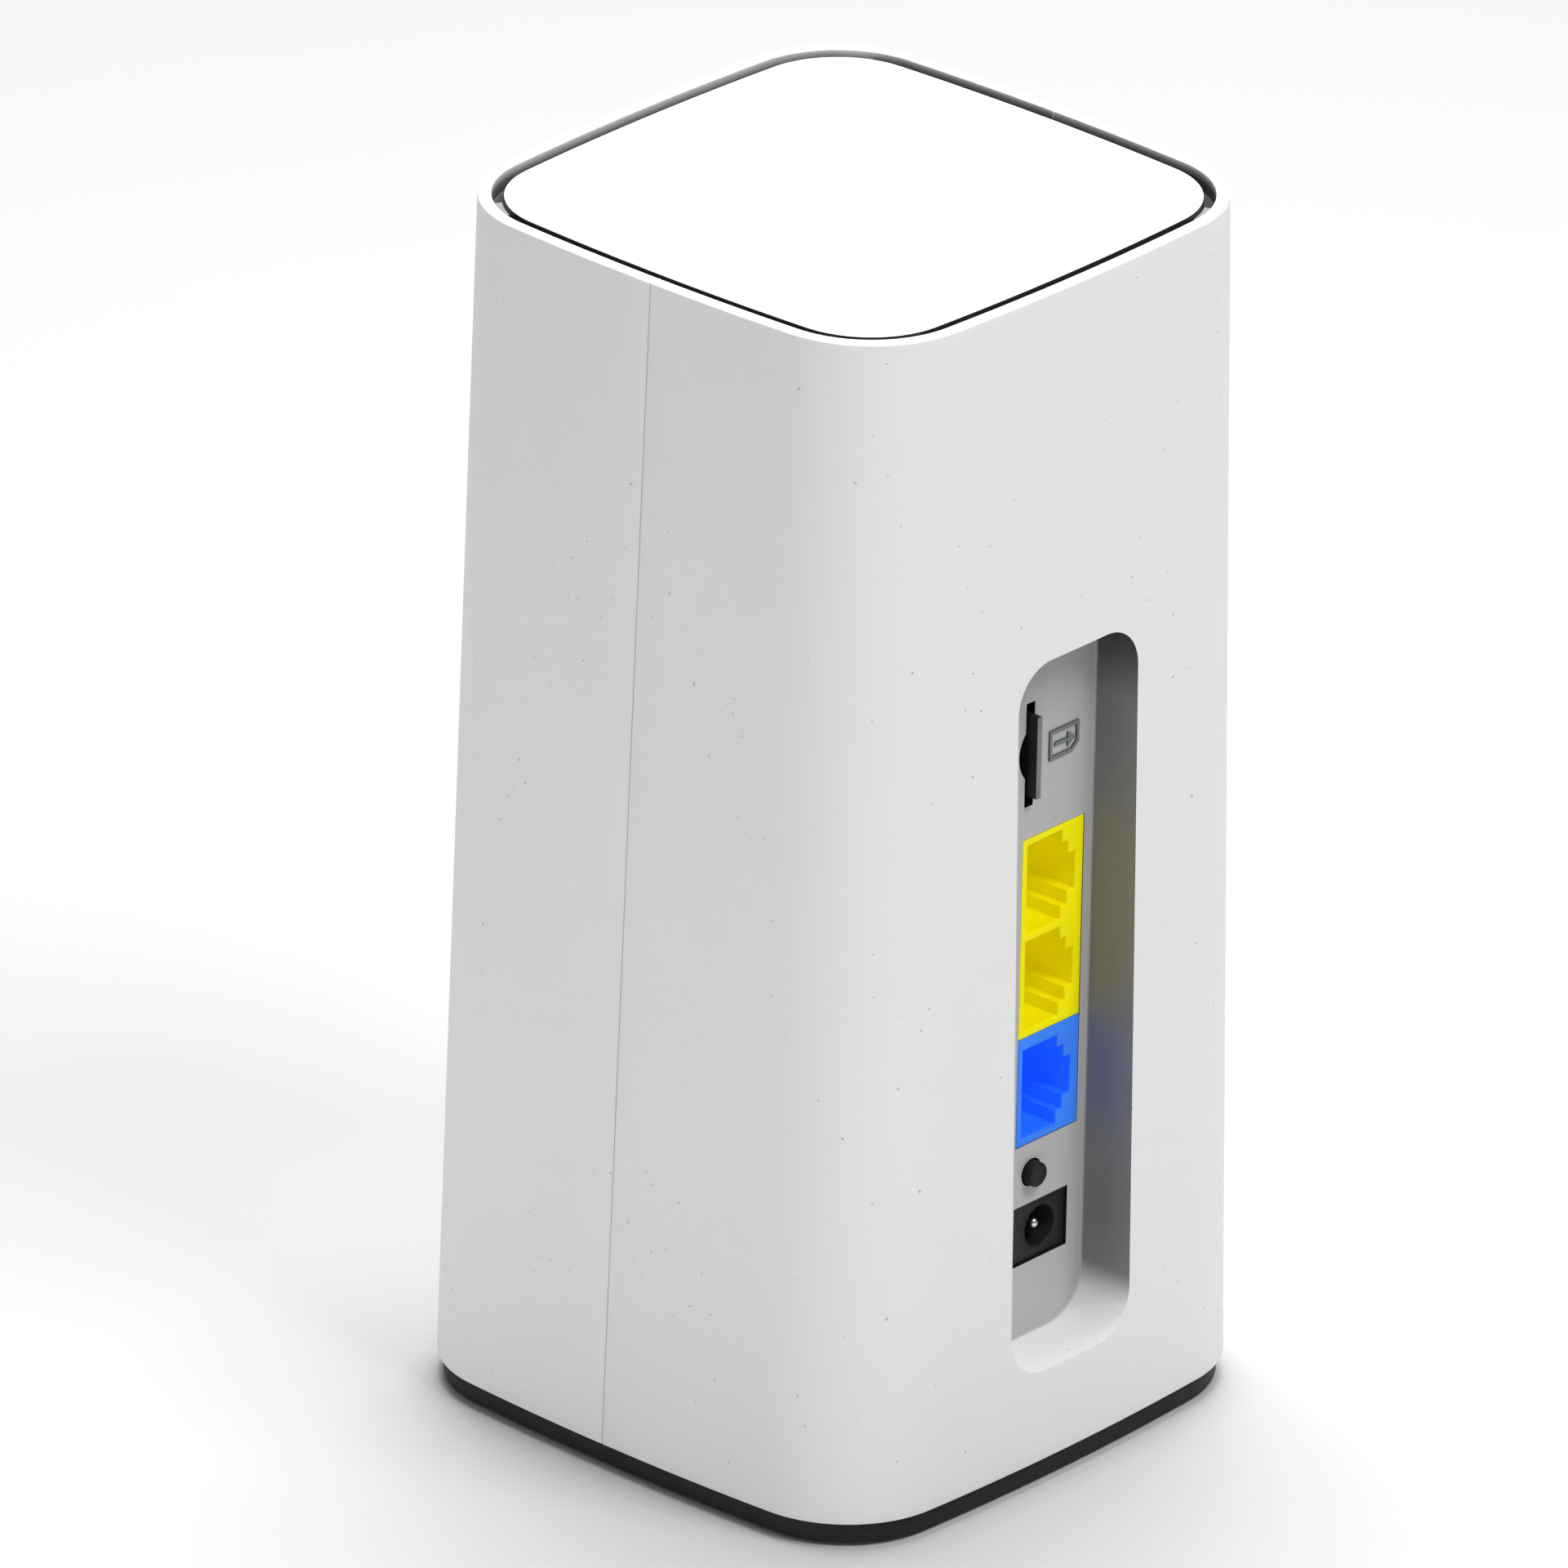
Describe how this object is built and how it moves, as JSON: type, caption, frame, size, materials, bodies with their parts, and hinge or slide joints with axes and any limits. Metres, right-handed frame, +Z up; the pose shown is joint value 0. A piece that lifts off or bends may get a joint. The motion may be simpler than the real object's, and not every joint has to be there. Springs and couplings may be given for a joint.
{
  "type": "wireless router",
  "caption": "Upright home wireless router with two shell halves, a vented top cover and a rear recess holding network jacks, SIM slot, power button and power inlet.",
  "frame": {"origin": "centre of the footprint, on the surface that the router stands on", "axes": "+Z up, the front looks along -Y, the port recess is on the +Y side, +X is on the left for a person who looks at the ports"},
  "size_m": [0.0946, 0.0946, 0.19],
  "materials": {
    "shell_white": "fine satin grain",
    "cover_white": "smooth satin",
    "vent_grey": "satin",
    "base_black": "matt",
    "foot_rubber": "matt",
    "chassis_black": "matt",
    "board_green": "solder mask",
    "sink_aluminium": "extruded",
    "can_tin": "tinned sheet",
    "chip_black": "moulded epoxy",
    "pad_grey": "soft",
    "lan_yellow": "satin",
    "wan_blue": "satin",
    "contact_gold": "gold plated",
    "jack_black": "satin",
    "pin_metal": "polished",
    "button_black": "satin",
    "card_grey": "satin",
    "cap_dark": "sleeved",
    "inductor_grey": "pressed ferrite",
    "element_copper": "copper",
    "lead_black": "jacketed",
    "lens_clear": "frosted clear",
    "led_cream": "moulded",
    "cable_white": "laminated",
    "screw_steel": "zinc plated"
  },
  "bodies": {
    "root": {"front_shell": "shell_white", "rear_shell": "shell_white", "top_cover": "cover_white", "vent_frame": "vent_grey", "base_plate": "base_black", "rubber_feet": "foot_rubber", "chassis_frame": "chassis_black", "main_board": "board_green", "main_heat_sink": "sink_aluminium", "side_heat_sink": "sink_aluminium", "shield_cans": "can_tin", "processor_chips": "chip_black", "thermal_pads": "pad_grey", "lan_jack": "lan_yellow", "lan_contacts": "contact_gold", "wan_jack": "wan_blue", "wan_contacts": "contact_gold", "dc_jack": "jack_black", "dc_pin": "pin_metal", "dc_leaf": "contact_gold", "switch_body": "chip_black", "sim_socket": "jack_black", "sim_contacts": "contact_gold", "line_transformers": "chip_black", "power_capacitors": "cap_dark", "power_inductors": "inductor_grey", "cellular_aerials": "board_green", "wifi_aerials": "board_green", "aerial_elements": "element_copper", "aerial_leads": "lead_black", "aerial_plugs": "contact_gold", "led_board": "board_green", "status_leds": "led_cream", "light_guide": "lens_clear", "led_cable": "cable_white", "base_screws": "screw_steel", "top_screws": "screw_steel", "board_screws": "screw_steel", "sink_screws": "screw_steel"},
    "power_button": {"power_button": "button_black"},
    "sim_card": {"sim_card": "card_grey", "sim_chip": "contact_gold"}
  },
  "joints": [
    {"name": "power_button_push", "type": "slide", "parent": "root", "child": "power_button", "axis": [0, -1, 0], "range_m": [0, 0.0012], "stiffness_N_per_m": 800},
    {"name": "sim_card_slide", "type": "slide", "parent": "root", "child": "sim_card", "axis": [0, 1, 0], "range_m": [-0.0008, 0.015]}
  ]
}
